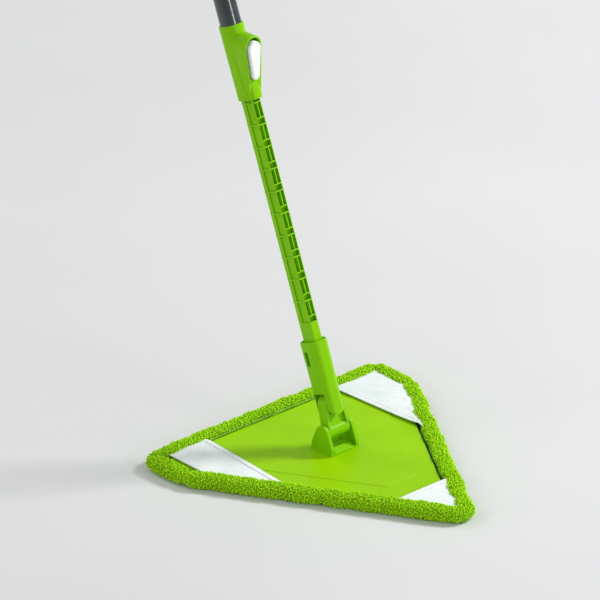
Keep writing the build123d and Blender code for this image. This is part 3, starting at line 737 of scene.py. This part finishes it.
def drape(piece, pinned):
    """Let a slightly loose patch settle between its sewn edges, on the plate, by simulation."""
    low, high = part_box("base_plate")
    rest = flat_sheet("plate_rest", low, high, PLATE_TOP + 0.2 * MM, piece.data.materials[0])
    rest.modifiers.new("collision", "COLLISION")
    rest.collision.thickness_outer = 0.5 * MM
    piece.vertex_groups.new(name="sewn").add(pinned, 1.0, "ADD")
    cloth = piece.modifiers.new("cloth", "CLOTH")
    cloth.settings.quality = 8
    cloth.settings.mass = 0.15
    cloth.settings.tension_stiffness = 40
    cloth.settings.compression_stiffness = 40
    cloth.settings.shear_stiffness = 20
    cloth.settings.bending_stiffness = 0.05
    cloth.settings.vertex_group_mass = "sewn"
    cloth.settings.shrink_min = -CLOTH_SLACK
    cloth.settings.effector_weights.gravity = 0.15
    cloth.collision_settings.distance_min = 1 * MM
    cloth.point_cache.frame_start = 1
    cloth.point_cache.frame_end = CLOTH_FRAMES
    for frame_number in range(1, CLOTH_FRAMES + 1):
        bpy.context.scene.frame_set(frame_number)
    apply_modifiers(piece)
    piece.vertex_groups.clear()
    bpy.data.objects.remove(rest)


def thicken(piece, thickness):
    """Give a sheet its thickness and apply it."""
    solid = piece.modifiers.new("thickness", "SOLIDIFY")
    solid.thickness = thickness
    solid.offset = 0
    apply_modifiers(piece)


def apply_modifiers(piece):
    graph = bpy.context.evaluated_depsgraph_get()
    mesh = bpy.data.meshes.new_from_object(piece.evaluated_get(graph), depsgraph=graph)
    piece.modifiers.clear()
    piece.data = mesh


def hem_band(name, points, material):
    """The folded hem along the open edge, a second layer on top of the cloth."""
    depth = np.linalg.norm(points[1, CLOTH_CELLS // 2] - points[0, CLOTH_CELLS // 2])
    rows = max(3, int(round(HEM_BAND / depth)) + 1)
    strip = points[:rows, 3:-3].copy()
    strip[:, :, 2] += CLOTH_THICKNESS * 0.75
    edge = strip[0].copy()
    edge[:, 2] -= CLOTH_THICKNESS * 0.6
    edge[:, :2] -= unit(points[1, 3:-3, :2] - points[0, 3:-3, :2]) * 0.5 * MM
    strip = np.concatenate([edge[None], strip])
    faces = grid_faces(len(strip), strip.shape[1], False, False)
    band = mesh_object(name, strip.reshape(-1, 3), faces, material)
    thicken(band, CLOTH_THICKNESS * 0.5)
    return band, strip


def stitches(name, line, lift, material):
    """Short thread stitches, each a small bowed capsule, along a line of points."""
    steps = np.linalg.norm(np.diff(line, axis=0), axis=1)
    distance = np.concatenate([[0], np.cumsum(steps)])
    points, faces = [], []
    sides, rings = STITCH_SIDES, STITCH_RINGS
    for start in np.arange(STITCH_PITCH, distance[-1] - STITCH_PITCH, STITCH_PITCH):
        ends = []
        for d in (start, start + STITCH_LENGTH):
            ends.append(np.array([np.interp(d, distance, line[:, axis]) for axis in range(3)]))
        ahead = unit(ends[1] - ends[0])
        side = unit(np.cross(ahead, [0, 0, 1.0]))
        above = np.cross(side, ahead)
        base = len(points)
        for ring in range(rings):
            t = ring / (rings - 1)
            rise = lift + STITCH_BOW * math.sin(math.pi * t)
            centre = ends[0] * (1 - t) + ends[1] * t + above * rise
            size = STITCH_RADIUS * (0.35 + 0.65 * math.sin(math.pi * (0.12 + 0.76 * t)))
            for k in range(sides):
                angle = 2 * math.pi * k / sides
                points.append(centre + (side * math.cos(angle) + above * math.sin(angle)) * size)
        for ring in range(rings - 1):
            for k in range(sides):
                low, high = base + ring * sides, base + (ring + 1) * sides
                faces.append((low + k, low + (k + 1) % sides, high + (k + 1) % sides, high + k))
        faces.append(tuple(base + k for k in reversed(range(sides))))
        faces.append(tuple(base + (rings - 1) * sides + k for k in range(sides)))
    return mesh_object(name, np.array(points), faces, material)


def make_pockets(cloth, thread):
    """Three pockets: two side ones and the front one, each with a hem band and its stitches."""
    back_y = BACK_Y - POCKET_INSET
    pieces = []
    sides = ((-1, "left", 1.2 * MM, POCKET_SIDE_GAP), (1, "right", 3.6 * MM, POCKET_INSET))
    for side, name, lift, gap in sides:
        outer_x = HALF_WIDTH - gap
        corners = [
            (side * HEM_BACK_X, back_y),
            (side * outer_x, back_y),
            (side * outer_x, slanted_y(outer_x, POCKET_INSET)),
            (side * HEM_FRONT_X, slanted_y(HEM_FRONT_X, POCKET_INSET)),
        ]
        pieces.append((f"pocket_{name}", corners, lift))
    hem_half = np.interp(
        FRONT_HEM_Y,
        [slanted_y(0, POCKET_INSET), slanted_y(HEM_FRONT_X, POCKET_INSET)],
        [0, HEM_FRONT_X],
    )
    tip_y = slanted_y(0, POCKET_INSET) + FRONT_TIP_SETBACK
    front = [
        (-hem_half, FRONT_HEM_Y),
        (-FRONT_TIP_HALF, tip_y),
        (FRONT_TIP_HALF, tip_y),
        (hem_half, FRONT_HEM_Y),
    ]
    pieces.append(("pocket_front", front, 0.8 * MM))
    for node, corners, lift in pieces:
        sheet, points = cloth_patch(f"{node}_cloth", corners, lift, cloth)
        band, strip = hem_band(f"{node}_hem", points, cloth)
        seam = stitches(f"{node}_stitches", strip[-2], CLOTH_THICKNESS * 0.3, thread)
        for piece in (sheet, band, seam):
            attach(piece, "head")
        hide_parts(node)


# ---------------------------------------------------------------- finish of the CAD parts


def finish_parts():
    """Give every CAD part its material."""
    lime = srgb(151, 207, 0)
    # Painted shade: the pole parts get a darker copy of the plate's lime plastic.
    shaded_lime = srgb(136, 205, 0)
    white = srgb(254, 255, 253)
    nylon = srgb(222, 222, 210)
    plate = moulded_plastic("plate_plastic", lime, 0.34)
    pole = moulded_plastic("pole_plastic_painted_shade", shaded_lime, 0.3)
    lever = moulded_plastic("lever_plastic", white, 0.28)
    bush = moulded_plastic("bush_nylon", nylon, 0.45)
    steel = steel_material()
    finishes = {
        "base_plate": plate.material,
        "outer_tube": tube_material(),
        "lock_lever": lever.material,
        "hand_grip": grip_material(),
    }
    for node in POLE_NODES:
        finishes[node] = pole.material
    for node in NYLON_NODES:
        finishes[node] = bush.material
    for node in STEEL_NODES:
        finishes[node] = steel
    for node, material in finishes.items():
        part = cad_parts[node]
        part.data.materials.clear()
        part.data.materials.append(material)


# ---------------------------------------------------------------- stage


def make_camera():
    """A long lens from the front left, a little above."""
    right = Vector((math.cos(VIEW_TURN), -math.sin(VIEW_TURN), 0))
    level = Vector((math.sin(VIEW_TURN), math.cos(VIEW_TURN), 0))
    ahead = level * math.cos(VIEW_PITCH) - Vector((0, 0, math.sin(VIEW_PITCH)))
    up = right.cross(ahead)
    aim = Vector((0, VIEW_CENTRE_Y, 0)) - right * VIEW_LEFT + up * VIEW_UP
    data = bpy.data.cameras.new("camera")
    data.lens = VIEW_LENS
    data.sensor_width = VIEW_SENSOR
    data.clip_end = 60
    camera = bpy.data.objects.new("camera", data)
    turn = Matrix((right, up, -ahead)).transposed().to_4x4()
    camera.matrix_world = Matrix.Translation(aim - ahead * VIEW_DISTANCE) @ turn
    bpy.context.scene.collection.objects.link(camera)
    bpy.context.scene.camera = camera


def area_light(name, place, aim, size, power):
    data = bpy.data.lights.new(name, "AREA")
    data.shape = "DISK"
    data.size = size
    data.energy = power
    light = bpy.data.objects.new(name, data)
    light.location = place
    light.rotation_euler = (Vector(aim) - Vector(place)).to_track_quat("-Z", "Y").to_euler()
    bpy.context.scene.collection.objects.link(light)


def floor_material():
    s = Shader("floor", (0.72, 0.72, 0.71), 0.6)
    cloud = s.grey(s.noise(0.5, 3), 0, 1)
    s.link(s.mix(cloud, (0.70, 0.70, 0.69), (0.74, 0.74, 0.73)), s.bsdf, "Base Color")
    return s.material


def make_stage():
    """A plain pale floor, a key light from the right, three soft ones and a pale surround."""
    low, high = (-FLOOR_REACH, -FLOOR_REACH), (FLOOR_REACH, FLOOR_REACH)
    flat_sheet("floor", low, high, 0, floor_material())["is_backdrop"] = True
    area_light("key", (2.75, -1.1, 2.5), (0, 0, 0.1), 0.9, 113)
    area_light("front", (0.4, -3.2, 1.2), (0, 0, 0.3), 0.8, 20)
    area_light("fill", (-3.0, 0.9, 1.5), (0, 0, 0.25), 1.2, 18)
    area_light("back", (-0.6, 3.0, 2.4), (0, 0, 0.3), 1.5, 26)
    world = bpy.data.worlds.new("world")
    world.use_nodes = True
    world.node_tree.nodes["Background"].inputs["Color"].default_value = (0.9, 0.93, 0.95, 1)
    world.node_tree.nodes["Background"].inputs["Strength"].default_value = 0.42
    bpy.context.scene.world = world


def rim_seam():
    """The row of stitches that sews the rim to the pad, seen along the back between the pockets."""
    x = np.linspace(-HEM_BACK_X, HEM_BACK_X, RIM_SEAM_POINTS)
    y = np.full(RIM_SEAM_POINTS, BACK_Y - RIM_WIDTH + 0.6 * MM)
    z = PLATE_TOP + 1.4 * MM + 0.3 * MM * np.sin(x / (9 * MM))
    line = np.column_stack([x, y, z])
    seam = stitches("rim_seam", line, 0, thread_material("lime_thread", srgb(196, 226, 120)))
    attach(seam, "head")


def make_head():
    pile = pile_material()
    core, surface, firsts = rim_surface()
    sole, sole_pile = make_sole(pile)
    rim_seam()
    for piece in (core, sole, sole_pile, *rim_pile(surface, firsts, pile)):
        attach(piece, "head")
    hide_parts("pad_rim")
    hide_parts("pad_sole")
    make_pockets(cloth_material(), thread_material("white_thread", srgb(228, 234, 230)))


bpy.context.scene.view_settings.view_transform = "Standard"
make_camera()
make_stage()
finish_parts()
make_head()

boxes = {"cad": cad_box, "visual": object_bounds()}
boxes = {name: [list(corner) for corner in box] for name, box in boxes.items()}
